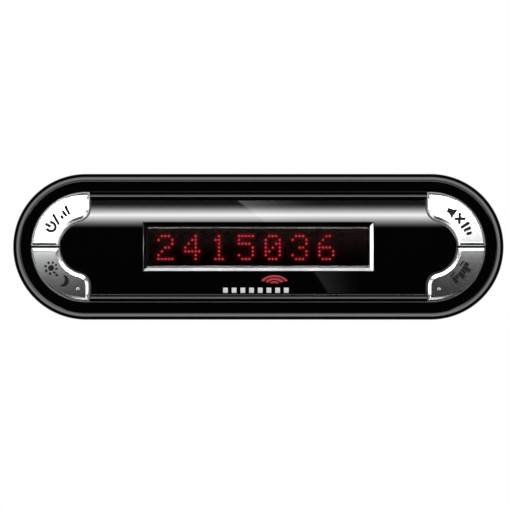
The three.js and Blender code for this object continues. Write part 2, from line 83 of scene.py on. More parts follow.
# ---- Sizes of the face, in millimetres ----
WALL = 1.8
DECK_THICKNESS = 1.5
SEAT = 0.1
CLEARANCE = 0.3
POCKET_RADIUS = 11.03
RIM_LEAN = math.radians(27)  # slope at which the rim's outer round leaves the flat band
RIM_FLAT_RADIUS = 13.15
RIM_CREASE = 0.2
SMALL_ROUND = 0.1
LIP_THICKNESS = 0.75
LIP_GAP = 0.15
CROWN_RADIUS = 32.0
PLATE_EDGE = 1.2
TONGUE_EDGE = 0.25
KEY_GAP = 0.25
DECK_KEY_GAP = 0.2
MIRROR_OVERLAP = 1.0  # how far the openings of two mirrored keys run into each other
KEY_BAND = 5.12
KEY_OUTER = POCKET_RADIUS - KEY_GAP
KEY_INNER = KEY_OUTER - KEY_BAND
KEY_SIDE = -0.5
KEY_CORNER = 2.4
KEY_SPLIT = 0.45
KEY_SUNK = 0.35  # from the rim's flat band down to the middle of a key's top
KEY_TOP = FACE - KEY_SUNK
KEY_CROWN = 45.0
FLANGE_WIDTH = 0.8
FLANGE_DEPTH = 5.0
FLANGE_THICKNESS = 0.7
FLANGE_BACK = FACE - FLANGE_DEPTH
FLANGE_FRONT = FLANGE_BACK + FLANGE_THICKNESS
TRIM_WIDTH = 0.65
TRIM_LAND = 0.02
TRIM_PROUD = 0.05
WINDOW_GAP = 0.15

HALF_TURN = math.pi
QUARTER_TURN = math.pi / 2
DECK_FRONT = PLATE_BACK - SEAT
DECK_BACK = DECK_FRONT - DECK_THICKNESS
CAVITY_RADIUS = END_RADIUS - WALL


# ---- Mesh tools ----
def steps_between(start, end, count):
    return [start + (end - start) * i / count for i in range(count + 1)]


def arc(x, up, radius, start, end, count):
    return [(x + radius * math.cos(a), up + radius * math.sin(a)) for a in steps_between(start, end, count)]


class Skin:
    """Points and faces of one piece, in the working frame."""

    def __init__(self):
        self.points = []
        self.faces = []

    def ring(self, points):
        first = len(self.points)
        self.points.extend(points)
        return list(range(first, len(self.points)))

    def bridge(self, one, other, closed=True):
        count = len(one)
        for i in range(count if closed else count - 1):
            j = (i + 1) % count
            self.faces.append((one[i], one[j], other[j], other[i]))

    def loft(self, rings, closed=True):
        made = [self.ring(points) for points in rings]
        for one, other in zip(made, made[1:]):
            self.bridge(one, other, closed)
        return made

    def solid(self, rings):
        """A loft whose two ends are closed."""
        made = self.loft(rings)
        self.faces += [tuple(made[0]), tuple(made[-1])]

    def mesh(self, name):
        mesh = bpy.data.meshes.new(name)
        mesh.from_pydata([at(*point) for point in self.points], [], self.faces)
        shape = bmesh.new()
        shape.from_mesh(mesh)
        bmesh.ops.remove_doubles(shape, verts=shape.verts, dist=2e-7)
        bmesh.ops.dissolve_degenerate(shape, edges=shape.edges, dist=1e-8)
        bmesh.ops.recalc_face_normals(shape, faces=shape.faces)
        shape.to_mesh(mesh)
        shape.free()
        return mesh


def shade(mesh, sharp_degrees=32):
    for polygon in mesh.polygons:
        polygon.use_smooth = True
    mesh.set_sharp_from_angle(angle=math.radians(sharp_degrees))


def add_object(name, mesh):
    made = bpy.data.objects.new(name, mesh)
    bpy.context.scene.collection.objects.link(made)
    return made


def piece(name, skin, material, body, replaces=(), cutters=(), joins=(), sharp_degrees=32):
    """A finished piece of the object from a skin, with other skins cut out of it or joined to it."""
    made = add_object(name, skin.mesh(name))
    others = [(tool, "UNION") for tool in joins] + [(tool, "DIFFERENCE") for tool in cutters]
    if others:
        carve(made, others)
    shade(made.data, sharp_degrees)
    made.data.materials.clear()
    made.data.materials.append(material)
    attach(made, body)
    if replaces:
        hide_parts(*replaces)
    return made


def carve(target, tools):
    helpers = []
    for number, (skin, operation) in enumerate(tools):
        helper = add_object(f"helper_{number}", skin.mesh("helper"))
        modifier = target.modifiers.new("carve", "BOOLEAN")
        modifier.operation = operation
        modifier.solver = "EXACT"
        modifier.object = helper
        helpers.append(helper)
    graph = bpy.context.evaluated_depsgraph_get()
    carved = bpy.data.meshes.new_from_object(target.evaluated_get(graph))
    target.modifiers.clear()
    target.data = carved
    for helper in helpers:
        bpy.data.objects.remove(helper)


def prism(outline, low, high):
    """A straight solid of an outline, from one depth to another."""
    skin = Skin()
    skin.solid([[(x, up, out) for x, up in outline] for out in (low, high)])
    return skin


def box_outline(x0, x1, up0, up1):
    return [(x0, up0), (x1, up0), (x1, up1), (x0, up1)]


def disc_outline(x, up, radius, count=32):
    return arc(x, up, radius, 0, 2 * HALF_TURN, count)[:-1]


def stadium(half_span, radius, count=96):
    right = arc(half_span, 0, radius, -QUARTER_TURN, QUARTER_TURN, count)
    left = arc(-half_span, 0, radius, QUARTER_TURN, 3 * QUARTER_TURN, count)
    return right + left


def swept(profile):
    """The solid that a section makes when it runs round the head's own outline."""
    skin = Skin()
    skin.loft([[(x, up, out) for x, up in stadium(END_CENTRE, radius)] for radius, out in profile])
    return skin


# ---- Outlines of the face ----
CORNER_X = KEY_CORNER + KEY_SIDE
CORNER_UP = math.sqrt((KEY_INNER + KEY_CORNER) ** 2 - CORNER_X**2)
CORNER_ANGLE = math.atan2(CORNER_UP, CORNER_X)


def crown(up, top=CROWN_TOP, radius=CROWN_RADIUS):
    return top - radius + math.sqrt(radius**2 - up**2)


def key_sides(inset, low_edge, count=40):
    """A key's inner and outer edges for the upper right key, both from its divider to its side."""
    inner_radius = KEY_INNER + inset
    outer_radius = KEY_OUTER - inset
    side = KEY_SIDE + inset
    start = math.asin(low_edge / inner_radius)
    inner = arc(END_CENTRE, 0, inner_radius, start, CORNER_ANGLE, count)
    corner_start = HALF_TURN + CORNER_ANGLE
    corner = arc(END_CENTRE + CORNER_X, CORNER_UP, KEY_CORNER - inset, corner_start, HALF_TURN, count // 2)
    inner += corner[1:]
    outer_start = math.asin(low_edge / outer_radius)
    outer = arc(END_CENTRE, 0, outer_radius, outer_start, math.acos(side / outer_radius), len(inner) - 1)
    return inner, outer


def key_outline(inset, low_edge, ends=8):
    """The closed outline: along the inner edge, across the side, back by the outer edge and divider."""
    inner, outer = key_sides(inset, low_edge)
    side = between(inner[-1], outer[-1], ends)[1:-1]
    divider = between(outer[0], inner[0], ends)[1:-1]
    return inner + side + outer[::-1] + divider


def between(one, other, count):
    return [
        (one[0] + (other[0] - one[0]) * t, one[1] + (other[1] - one[1]) * t)
        for t in steps_between(0, 1, count)
    ]


def mirrored(outline, side, level):
    return [(x * side, up * level) for x, up in outline]


# ---- Housings ----
def rim_points():
    """The outer wall, its round, the small crease and the flat band, from back to front."""
    sine = math.sin(RIM_LEAN)
    radius = (END_RADIUS - RIM_FLAT_RADIUS - RIM_CREASE * sine) / (1 - sine)
    centre = END_RADIUS - radius
    depth = FACE - RIM_CREASE + (RIM_CREASE - radius) * math.cos(RIM_LEAN)
    crease_start = QUARTER_TURN - RIM_LEAN
    outer = arc(centre, depth, radius, 0, crease_start, 18)
    crease = arc(RIM_FLAT_RADIUS, FACE - RIM_CREASE, RIM_CREASE, crease_start, QUARTER_TURN, 5)
    return outer + crease[1:]


def front_housing(material):
    rebate = CAVITY_RADIUS + LIP_THICKNESS + LIP_GAP
    lip_level = LIP_FRONT + LIP_GAP
    inside = [
        (0, DECK_BACK),
        (CAVITY_RADIUS, DECK_BACK),
        (CAVITY_RADIUS, lip_level),
        (rebate, lip_level),
        (rebate, HOUSING_BACK),
        (END_RADIUS - SMALL_ROUND, HOUSING_BACK),
    ]
    lower_round = arc(END_RADIUS - SMALL_ROUND, HOUSING_BACK + SMALL_ROUND, SMALL_ROUND, -QUARTER_TURN, 0, 4)
    pocket_edge = POCKET_RADIUS + SMALL_ROUND
    pocket_round = arc(pocket_edge, FACE - SMALL_ROUND, SMALL_ROUND, QUARTER_TURN, HALF_TURN, 5)
    pocket = [(POCKET_RADIUS, DECK_FRONT), (0, DECK_FRONT)]
    skin = swept(inside + lower_round + rim_points() + pocket_round + pocket)
    half_length, half_height = (half + WINDOW_GAP for half in WINDOW_HALF)
    window = box_outline(-half_length, half_length, -half_height, half_height)
    openings = [prism(window, DECK_BACK - 1, DECK_FRONT + 1)]
    opening = key_outline(-DECK_KEY_GAP, -MIRROR_OVERLAP)
    for side, level in ((-1, 1), (-1, -1), (1, 1), (1, -1)):
        openings.append(prism(mirrored(opening, side, level), DECK_BACK - 1, DECK_FRONT + 1))
    return piece("housing_front", skin, material, "head", ["front_housing"], cutters=openings)


BACK_ROUND = 2.0
BOSS_RADIUS = 3.0
HEAD_HOLE_RADIUS = 2.2
SHAFT_HOLE_RADIUS = 1.25
HEAD_SEAT = 4.9
PAD_RECESS = 0.4
PAD_CORNER = 3.0
PAD_ROUND = 0.25
SLOT_COUNT = 5
SLOT_PITCH = 1.9
SLOT_HALF_WIDTH = 0.45
SLOT_HALF_LENGTH = 3.5


def centre_of(node):
    low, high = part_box(node)
    return (low.x + high.x) / 2 / MM, ((low.z + high.z) / 2 - MIDDLE_Z) / MM


def rounded_box(x, up, half_length, half_height, radius, count=12):
    reach_x, reach_up = half_length - radius, half_height - radius
    corners = [(1, -1, -1), (1, 1, 0), (-1, 1, 1), (-1, -1, 2)]
    outline = []
    for sign_x, sign_up, quarter in corners:
        start = quarter * QUARTER_TURN
        centre_x, centre_up = x + sign_x * reach_x, up + sign_up * reach_up
        outline += arc(centre_x, centre_up, radius, start, start + QUARTER_TURN, count)
    return outline


def rear_cover(material):
    parting = HOUSING_BACK - SEAT
    back = arc(END_RADIUS - BACK_ROUND, BACK_ROUND, BACK_ROUND, -QUARTER_TURN, 0, 14)
    front_round = arc(END_RADIUS - SMALL_ROUND, parting - SMALL_ROUND, SMALL_ROUND, 0, QUARTER_TURN, 4)
    lip_radius = CAVITY_RADIUS + LIP_THICKNESS
    inside = [
        (lip_radius, parting),
        (lip_radius, LIP_FRONT),
        (CAVITY_RADIUS, LIP_FRONT),
        (CAVITY_RADIUS, WALL),
        (0, WALL),
    ]
    skin = swept([(0, 0)] + back + front_round + inside)
    screws = [centre_of(f"cover_screw_{number}") for number in range(1, 5)]
    bosses = [prism(disc_outline(x, up, BOSS_RADIUS), WALL / 2, parting - SEAT) for x, up in screws]
    holes = [prism(disc_outline(x, up, SHAFT_HOLE_RADIUS), -1, FACE) for x, up in screws]
    holes += [prism(disc_outline(x, up, HEAD_HOLE_RADIUS), -1, HEAD_SEAT) for x, up in screws]
    pad_x, pad_up = half_size("mounting_pad")
    holes.append(prism(rounded_box(0, 0, pad_x + SEAT, pad_up + SEAT, PAD_CORNER), -1, PAD_RECESS))
    jack_low, jack_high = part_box("cable_jack")
    jack_half = (jack_high.z - jack_low.z) / 2 / MM + CLEARANCE
    notch = box_outline(END_CENTRE, END_CENTRE + 2 * END_RADIUS, -jack_half, jack_half)
    holes.append(prism(notch, out_of(jack_high.y) - CLEARANCE, FACE))
    for number in range(SLOT_COUNT):
        x = -END_CENTRE + (number - (SLOT_COUNT - 1) / 2) * SLOT_PITCH
        slot = rounded_box(x, 0, SLOT_HALF_WIDTH, SLOT_HALF_LENGTH, SLOT_HALF_WIDTH - 0.01, 6)
        holes.append(prism(slot, -1, WALL + 1))
    return piece("cover_rear", skin, material, "head", ["rear_cover"],
                 cutters=holes, joins=bosses)


# ---- Faceplate ----
def plate_edge():
    """Where the small round of the long edges is centred, and the slope where the crown meets it."""
    crown_centre = CROWN_TOP - CROWN_RADIUS
    spread = CROWN_RADIUS - PLATE_EDGE
    rise = PLATE_BACK - crown_centre
    to_edge = math.hypot(PLATE_HALF_HEIGHT, rise)
    turned = math.acos((spread**2 + to_edge**2 - PLATE_EDGE**2) / (2 * spread * to_edge))
    lean = math.atan2(PLATE_HALF_HEIGHT, rise) - turned
    return spread * math.sin(lean), crown_centre + spread * math.cos(lean), lean


EDGE_UP, EDGE_OUT, EDGE_LEAN = plate_edge()
RIB_WIDTH = 0.5
RIB_INSET = 0.14
RIB_ROOF = 0.2
RIB_BELOW_RIM = 0.1
RIB_MIDDLE = PLATE_HALF_HEIGHT - RIB_INSET - RIB_WIDTH / 2
RIB_EASE = 0.03


def plate_face(up):
    level = abs(up)
    if level < CROWN_RADIUS * math.sin(EDGE_LEAN):
        return crown(up)
    return EDGE_OUT + math.sqrt(max(PLATE_EDGE**2 - (level - EDGE_UP) ** 2, 0))


def plate_reach(up, inset):
    """Half the faceplate's length at a height, to its outline or to a line that far inside it."""
    level = abs(up)
    tongue = KEY_INNER - KEY_GAP - inset
    corner = KEY_CORNER + KEY_GAP + inset
    if level < tongue * math.sin(CORNER_ANGLE):
        return END_CENTRE + math.sqrt(tongue**2 - level**2)
    if level < CORNER_UP:
        return END_CENTRE + CORNER_X - math.sqrt(corner**2 - (CORNER_UP - level) ** 2)
    return END_CENTRE + KEY_SIDE - KEY_GAP - inset


PLATE_BRINK = 0.04  # thickness left along the long edges
EDGE_SUPPORTS = (0.03, 0.6)  # extra columns past the edge's round, which keep the face true beside it
HOLE_SUPPORT = 0.3  # and one beside the window
TINY = 0.001


def plate_levels(hole):
    """Heights of the faceplate's rows and the depth of its face at each, with a ridge by each long edge."""
    tongue = KEY_INNER - KEY_GAP
    corner = KEY_CORNER + KEY_GAP
    levels = [tongue * math.sin(a) for a in steps_between(0, CORNER_ANGLE, 26)]
    levels += [CORNER_UP - corner * math.sin(a) for a in steps_between(CORNER_ANGLE, 0, 16)]
    levels += steps_between(CORNER_UP, RIB_MIDDLE - RIB_WIDTH / 2, 6)
    levels.append(hole)
    upper = [(level, plate_face(level)) for level in sorted({round(level, 6) for level in levels})]
    inner, outer = RIB_MIDDLE - RIB_WIDTH / 2, RIB_MIDDLE + RIB_WIDTH / 2
    crest = FACE - RIB_BELOW_RIM
    foot = crest - RIB_ROOF
    ease = RIB_EASE
    upper += [
        (inner, foot - ease),
        (inner + ease / 2, foot),
        (inner + 2 * ease, foot + ease),
        (RIB_MIDDLE - ease, crest - ease),
        (RIB_MIDDLE, crest - ease / 2),
        (RIB_MIDDLE + ease, crest - ease),
        (outer - 2 * ease, foot + ease),
        (outer - ease / 2, foot),
        (outer, foot - ease),
        (outer, plate_face(outer)),
        (PLATE_HALF_HEIGHT, PLATE_BACK + PLATE_BRINK),
    ]
    return [(-level, face) for level, face in reversed(upper[1:])] + upper


def faceplate(material):
    hole_x, hole_up = (half + WINDOW_GAP for half in WINDOW_HALF)
    edges = [(TONGUE_EDGE * (1 - math.cos(a)), TONGUE_EDGE * (1 - math.sin(a)))
             for a in steps_between(0, QUARTER_TURN, 5)]
    edges += [(TONGUE_EDGE + past, 0) for past in EDGE_SUPPORTS]
    skin = Skin()
    fronts, backs = [], []
    rows = plate_levels(hole_up)
    levels = [up for up, _ in rows]
    for up, face in rows:
        half = [(plate_reach(up, inset), drop) for inset, drop in edges]
        half += [(hole_x + HOLE_SUPPORT, 0), (hole_x, 0)]
        places = [(-x, drop) for x, drop in half] + half[::-1]
        lowest = PLATE_BACK + PLATE_BRINK
        fronts.append(skin.ring([(x, up, max(face - drop, lowest)) for x, drop in places]))
        backs.append(skin.ring([(x, up, PLATE_BACK) for x, _ in places]))
    middle = len(edges) + 1
    last = len(fronts[0]) - 1
    for row in range(len(levels) - 1):
        beside = levels[row] > -hole_up - TINY and levels[row + 1] < hole_up + TINY
        for sheet in (fronts, backs):
            for column in range(last):
                if beside and column == middle:
                    continue
                skin.bridge(sheet[row][column:column + 2], sheet[row + 1][column:column + 2], False)
        walls = [0, last] + ([middle, middle + 1] if beside else [])
        for column in walls:
            skin.bridge([fronts[row][column], fronts[row + 1][column]],
                        [backs[row][column], backs[row + 1][column]], False)
    for row in (0, len(levels) - 1):
        skin.bridge(fronts[row], backs[row], False)
    for level in (-hole_up, hole_up):
        row = min(range(len(levels)), key=lambda i: abs(levels[i] - level))
        skin.bridge(fronts[row][middle:middle + 2], backs[row][middle:middle + 2], False)
    return piece("face_plate", skin, material, "head", ["faceplate"])


# ---- Window ----
TRIM_SLOPE = math.radians(22.5)
TRIM_EASE = 0.02
TRIM_SIDE_STEPS = 8


def rectangle_ring(half_x, half_up, out_at):
    """A closed rectangle with extra points up its sides, whose depth follows out_at(up)."""
    ups = steps_between(-half_up, half_up, TRIM_SIDE_STEPS)
    points = [(half_x, up) for up in ups] + [(-half_x, up) for up in reversed(ups)]
    return [(x, up, out_at(up)) for x, up in points]


def window_trim(material):
    half_x, half_up = WINDOW_HALF
    seat = LENS_FRONT + SEAT
    top = CROWN_TOP + TRIM_PROUD
    rise = (TRIM_WIDTH - TRIM_LAND) * math.tan(TRIM_SLOPE)
    levels = [
        (0, lambda up: PLATE_BACK),
        (0, lambda up: crown(up, top) - TRIM_EASE),
        (TRIM_LAND, lambda up: crown(up, top)),
        (TRIM_WIDTH, lambda up: crown(up, top) - rise),
        (TRIM_WIDTH, lambda up: seat),
        (TRIM_WIDTH, lambda up: PLATE_BACK),
    ]
    skin = Skin()
    rings = skin.loft([rectangle_ring(half_x - inset, half_up - inset, out) for inset, out in levels])
    skin.bridge(rings[-1], rings[0])
    return piece("trim_window", skin, material, "head", ["window_trim"], sharp_degrees=12)


LENS_CROWN_DROP = 0.02
LENS_EASE = 0.02


def window_lens(material):
    """The lens, whose front follows the crown of the faceplate."""
    half_x, half_up = half_size("window_lens")
    back = out_of(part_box("window_lens")[1].y)
    front = LENS_FRONT - LENS_CROWN_DROP
    ups = [half_up * share for share in steps_between(-1, 1, 24)]
    levels = [
        (0, lambda up: back),
        (0, lambda up: crown(up, front) - LENS_EASE),
        (LENS_EASE * 0.3, lambda up: crown(up, front) - LENS_EASE * 0.3),
        (LENS_EASE, lambda up: crown(up, front)),
    ]
    skin = Skin()
    rings = []
    for inset, out in levels:
        share = (half_up - inset) / half_up
        side = [(half_x - inset, up * share) for up in ups]
        points = side + [(-x, up) for x, up in reversed(side)]
        rings.append([(x, up, out(up)) for x, up in points])
    lofted = skin.loft(rings)
    count = len(ups)
    for ring in (lofted[0], lofted[-1]):
        right, left = ring[:count], ring[count:][::-1]
        skin.bridge(right, left, False)
    return piece("lens_window", skin, material, "head", ["window_lens"])


# ---- Keys ----
STEM_HALF = 1.5
STEM_LENGTH = 0.6
STEM_ANGLE = math.radians(45)
NIB_ANGLE = math.radians(79)
NIB_OUTWARD = 0.4
NIB_RADIUS = 0.3
NIB_HEIGHT = 0.05
NIB_ROOT = 0.1
KEY_MIDDLE = (KEY_OUTER + KEY_INNER) / 2
INNER_BEVEL = 0.6
OUTER_BEVEL = 0.14
BEVEL_DROP = 0.18
# across the bevel as a share of its width, and how much lower than its straight slope the face lies there
BEVEL_PROFILE = [
    (0, 0.1), (0.02, 0.03), (0.06, 0.006), (0.15, 0), (0.85, 0), (0.94, 0), (1.0, -0.006), (1.06, 0),
]
KEY_WALL = 2  # depth of the straight wall under the bevel


def key_loop(across, ends=10):
    """The key's outline drawn in by a share of its bevel, which is wide inside and narrow outside."""
    inset = across * INNER_BEVEL
    low_edge = KEY_SPLIT / 2 + inset
    inner, _ = key_sides(inset, low_edge)
    radius = KEY_OUTER - across * OUTER_BEVEL
    side = KEY_SIDE + inset
    start, end = math.asin(low_edge / radius), math.acos(side / radius)
    outer = arc(END_CENTRE, 0, radius, start, end, len(inner) - 1)
    closing = between(inner[-1], outer[-1], ends)[1:-1]
    divider = between(outer[0], inner[0], ends)[1:-1]
    return inner, outer, inner + closing + outer[::-1] + divider


def key_top(up):
    return crown(up, KEY_TOP, KEY_CROWN)


def key_head(side, level):
    skin = Skin()
    rings = []
    for out in (FLANGE_BACK + SEAT, KEY_TOP - KEY_WALL):
        rings.append([(x, up, out) for x, up in key_loop(0)[2]])
    for across, extra in BEVEL_PROFILE:
        fall = BEVEL_DROP * max(1 - across, 0) + extra
        rings.append([(x, up, key_top(up) - fall) for x, up in key_loop(across)[2]])
    skin.loft(rings)
    across, ends = BEVEL_PROFILE[-1][0], 10
    for out_at, share in ((key_top, across), (lambda up: FLANGE_BACK + SEAT, 0)):
        inner, outer, _ = key_loop(share)
        columns = [[(x, up, out_at(up)) for x, up in between(i, o, ends)] for i, o in zip(inner, outer)]
        skin.loft(columns, False)
    skin.points = [(x * side, up * level, out) for x, up, out in skin.points]
    return skin


def switch_place(side, level):
    return (
        side * (END_CENTRE + KEY_MIDDLE * math.cos(STEM_ANGLE)),
        level * KEY_MIDDLE * math.sin(STEM_ANGLE),
    )


def nib(x, up, count=20):
    """A shallow round bump for the fingertip, which follows the slope of the key's top."""
    skin = Skin()
    rings = [[(px, pup, key_top(pup) - NIB_ROOT) for px, pup in disc_outline(x, up, NIB_RADIUS, count)]]
    for share in steps_between(1, 0.15, 6):
        ring = disc_outline(x, up, NIB_RADIUS * share, count)
        rings.append([(px, pup, key_top(pup) + NIB_HEIGHT * (1 - share**2)) for px, pup in ring])
    skin.solid(rings)
    return skin


def key(name, side, level, material):
    flange = mirrored(key_outline(-FLANGE_WIDTH, KEY_SPLIT / 2), side, level)
    x, up = switch_place(side, level)
    stem = box_outline(x - STEM_HALF, x + STEM_HALF, up - STEM_HALF, up + STEM_HALF)
    reach = KEY_MIDDLE + NIB_OUTWARD
    nib_x = side * (END_CENTRE + reach * math.cos(NIB_ANGLE))
    nib_up = level * reach * math.sin(NIB_ANGLE)
    joins = [
        prism(flange, FLANGE_BACK, FLANGE_FRONT),
        prism(stem, FLANGE_BACK - STEM_LENGTH, FLANGE_FRONT),
        nib(nib_x, nib_up),
    ]
    return piece(f"key_cap_{name}", key_head(side, level), material, f"key_{name}",
                 [f"key_{name}"], joins=joins)


# ---- Display ----
CELL_PITCH = 5.34
DOT_ACROSS = 0.69
DOT_UP = 0.74
DOT_RADIUS = 0.2
DOT_TAPER = 0.9  # a dot's front as a share of its back
FIRST_CELL = -18.5
TEXT_UP = -0.14
DIGITS = {
    "0": ("01110", "10001", "10011", "10101", "11001", "10001", "01110"),
    "1": ("00100", "01100", "00100", "00100", "00100", "00100", "01110"),
    "2": ("01110", "10001", "00001", "00110", "01000", "10000", "11111"),
    "3": ("01110", "10001", "00001", "00110", "00001", "10001", "01110"),
    "4": ("00010", "00110", "01010", "10010", "11111", "00010", "00010"),
    "5": ("11111", "10000", "11110", "00001", "00001", "10001", "01110"),
    "6": ("00110", "01000", "10000", "11110", "10001", "10001", "01110"),
}
SHOWN = "2415036 "


def dot_places():
    """Every dot of the display, with whether it is lit."""
    places = []
    for cell, shown in enumerate(SHOWN):
        rows = DIGITS.get(shown, ("00000",) * 7)
        for row in range(7):
            for column in range(5):
                x = FIRST_CELL + cell * CELL_PITCH + (column - 2) * DOT_ACROSS
                up = TEXT_UP + (3 - row) * DOT_UP
                places.append((x, up, rows[row][column] == "1"))
    return places


def disc_skin(places, radius, low, high, count=14):
    skin = Skin()
    for x, up in places:
        skin.solid([
            [(px, pup, out) for px, pup in disc_outline(x, up, size, count)]
            for size, out in ((radius, low), (radius * DOT_TAPER, high))
        ])
    return skin


# The sheet over the module carries painted glow: light spread round the lit dots, painted on as emission.
PAINTED_GLOW_SHEET_HALF = (21.4, 4.1)
PAINTED_GLOW_SHEET_BACK = MODULE_FACE + 0.02
PAINTED_GLOW_SHEET_FRONT = MODULE_FACE + 0.05
DOT_BACK = MODULE_FACE + 0.04
DOT_FRONT = MODULE_FACE + 0.09
DOT_SINK = 0.02  # how far an unlit dot lies below a lit one
PAINTED_GLOW_STEP = 0.25
PAINTED_GLOW_REACH = 0.38


def painted_glow_sheet(lit, material):
    """A thin dark sheet over the module carrying painted glow: at each point, the sum of the light that
    every lit dot is painted to spread round it.
    """
    half_x, half_up = PAINTED_GLOW_SHEET_HALF
    columns = steps_between(-half_x, half_x, round(2 * half_x / PAINTED_GLOW_STEP))
    rows = steps_between(-half_up, half_up, round(2 * half_up / PAINTED_GLOW_STEP))
    skin = Skin()
    fronts = skin.loft([[(x, up, PAINTED_GLOW_SHEET_FRONT) for x in columns] for up in rows], False)
    backs = skin.loft([[(x, up, PAINTED_GLOW_SHEET_BACK) for x in columns] for up in rows], False)
    for row in (0, -1):
        skin.bridge(fronts[row], backs[row], False)
    for column in (0, -1):
        skin.bridge([front[column] for front in fronts], [back[column] for back in backs], False)
    made = piece("display_painted_glow_sheet", skin, material, "head")
    # painted glow kept at each point: a halo of light round every lit dot
    painted_glow = made.data.attributes.new("painted_glow", "FLOAT", "POINT")
    for vertex, value in zip(made.data.vertices, painted_glow.data):
        x = vertex.co.x / MM
        up = (vertex.co.z - MIDDLE_Z) / MM
        spread = 0
        for dot_x, dot_up in lit:
            away = (x - dot_x) ** 2 + (up - dot_up) ** 2
            if away < (4 * PAINTED_GLOW_REACH) ** 2:
                spread += math.exp(-away / (2 * PAINTED_GLOW_REACH**2))
        value.value = spread
    return made


# ---- Printed symbols ----
INK = 0.025


class Print:
    """Flat ink shapes laid on a face: each is a convex outline, with depth from the face below it."""

    def __init__(self, place, face):
        self.place = place
        self.face = face
        self.skin = Skin()

    def patch(self, outline):
        points = [self.place(s, h) for s, h in outline]
        self.skin.solid([[(x, up, self.face(up) + lift) for x, up in points] for lift in (-INK, INK)])

    def bar(self, s0, s1, h0, h1):
        self.patch([(s0, h0), (s1, h0), (s1, h1), (s0, h1)])

    def stroke(self, path, width):
        """A line of that width along a path."""
        left, right = [], []
        for i, (s, h) in enumerate(path):
            before = path[max(i - 1, 0)]
            after = path[min(i + 1, len(path) - 1)]
            run, rise = after[0] - before[0], after[1] - before[1]
            length = math.hypot(run, rise)
            off_s, off_h = -rise / length * width / 2, run / length * width / 2
            left.append(self.place(s + off_s, h + off_h))
            right.append(self.place(s - off_s, h - off_h))
        rings = []
        for (x0, up0), (x1, up1) in zip(left, right):
            rings.append([
                (x0, up0, self.face(up0) - INK), (x0, up0, self.face(up0) + INK),
                (x1, up1, self.face(up1) + INK), (x1, up1, self.face(up1) - INK),
            ])
        self.skin.solid(rings)

    def ring_stroke(self, s, h, radius, width, start, end, count=20):
        self.stroke(arc(s, h, radius, start, end, count), width)

    def lens_shape(self, s, h, radius, bite, count=18):
        """A crescent: a disc less a disc of the same size that lies so far to its right and up."""
        bite_s, bite_h = bite
        lean = math.atan2(bite_h, bite_s)
        half = math.acos(math.hypot(bite_s, bite_h) / 2 / radius)
        outer = arc(s, h, radius, lean + half, lean + 2 * HALF_TURN - half, count)
        inner = arc(s + bite_s, h + bite_h, radius, lean + HALF_TURN - half, lean + HALF_TURN + half, count)
        inner.reverse()
        for i in range(count):
            inner_pair = inner[count - i], inner[count - i - 1]
            self.patch([outer[i], outer[i + 1], inner_pair[1], inner_pair[0]])


SYMBOL_ANGLE = math.radians(43)


def on_key(side, level):
    """Places a symbol on a key: s runs round the arc at its middle line, h points outward."""

    def place(s, h):
        angle = SYMBOL_ANGLE - side * level * s / KEY_MIDDLE
        reach = KEY_MIDDLE + h
        return side * (END_CENTRE + reach * math.cos(angle)), level * reach * math.sin(angle)

    return place


def power_and_volume(ink):
    ink.ring_stroke(-1.9, -0.1, 0.9, 0.54, math.radians(135), math.radians(405))
    ink.bar(-2.17, -1.63, 0.0, 1.25)
    ink.stroke([(-0.5, -1.2), (0.25, 1.2)], 0.55)
    for number in range(3):
        s = 0.85 + number * 0.86
        ink.bar(s, s + 0.62, -0.95, -0.1 + number * 0.6)


def moon_and_sun(ink):
    ink.lens_shape(-1.9, 0, 1.15, (0.85, 0.28))
    ink.ring_stroke(1.7, 0, 0.3, 0.6, 0, 2 * HALF_TURN)
    for number in range(8):
        a = number * HALF_TURN / 4
        path = [(1.7 + r * math.cos(a), r * math.sin(a)) for r in (0.88, 1.4)]
        ink.stroke(path, 0.42)
    ink.bar(-0.4, 0.1, -0.25, 0.25)


def muted_speaker(ink):
    ink.bar(-3.3, -2.5, -0.55, 0.55)
    ink.patch([(-2.5, -0.55), (-1.5, -1.2), (-1.5, 1.2), (-2.5, 0.55)])
    ink.stroke([(-0.95, -0.85), (0.6, 0.85)], 0.58)
    ink.stroke([(-0.95, 0.85), (0.6, -0.85)], 0.58)
    for number in range(3):
        s = 1.25 + number * 0.92
        ink.bar(s, s + 0.6, -1.0 + number * 0.22, 1.0 - number * 0.22)


def skyline(ink):
    blocks = [(-2.8, 0.75, 0.3), (-2.0, 0.75, 1.15), (-1.2, 0.6, 0.6), (-0.5, 0.85, 0.95),
              (0.45, 0.6, 0.2), (1.15, 0.75, 0.85)]
    for s, width, top in blocks:
        ink.bar(s, s + width, -0.6, top)
    ink.bar(-2.8, 1.9, -1.15, -0.8)


MARK_X, MARK_UP = 3.25, -7.35
MARK_FLATTEN = 0.62
BAR_COUNT = 8
BAR_FIRST = -7.1
BAR_PITCH = 1.75
BAR_WIDTH = 0.95
BAR_HALF_HEIGHT = 0.52
BARS_UP = -8.75


def generic_mark():
    """Three flattened wave arcs, the generic mark under the window."""
    ink = Print(lambda s, h: (MARK_X + s, MARK_UP + h * MARK_FLATTEN), plate_face)
    for radius, width in ((0.7, 0.6), (1.65, 0.7), (2.6, 0.62)):
        ink.ring_stroke(0, -0.25, radius, width, math.radians(22), math.radians(158))
    return ink


def plain_bars():
    """A row of plain bars in place of a name."""
    ink = Print(lambda s, h: (s, BARS_UP + h), plate_face)
    for number in range(BAR_COUNT):
        s = BAR_FIRST + number * BAR_PITCH
        ink.bar(s, s + BAR_WIDTH, -BAR_HALF_HEIGHT, BAR_HALF_HEIGHT)
    return ink


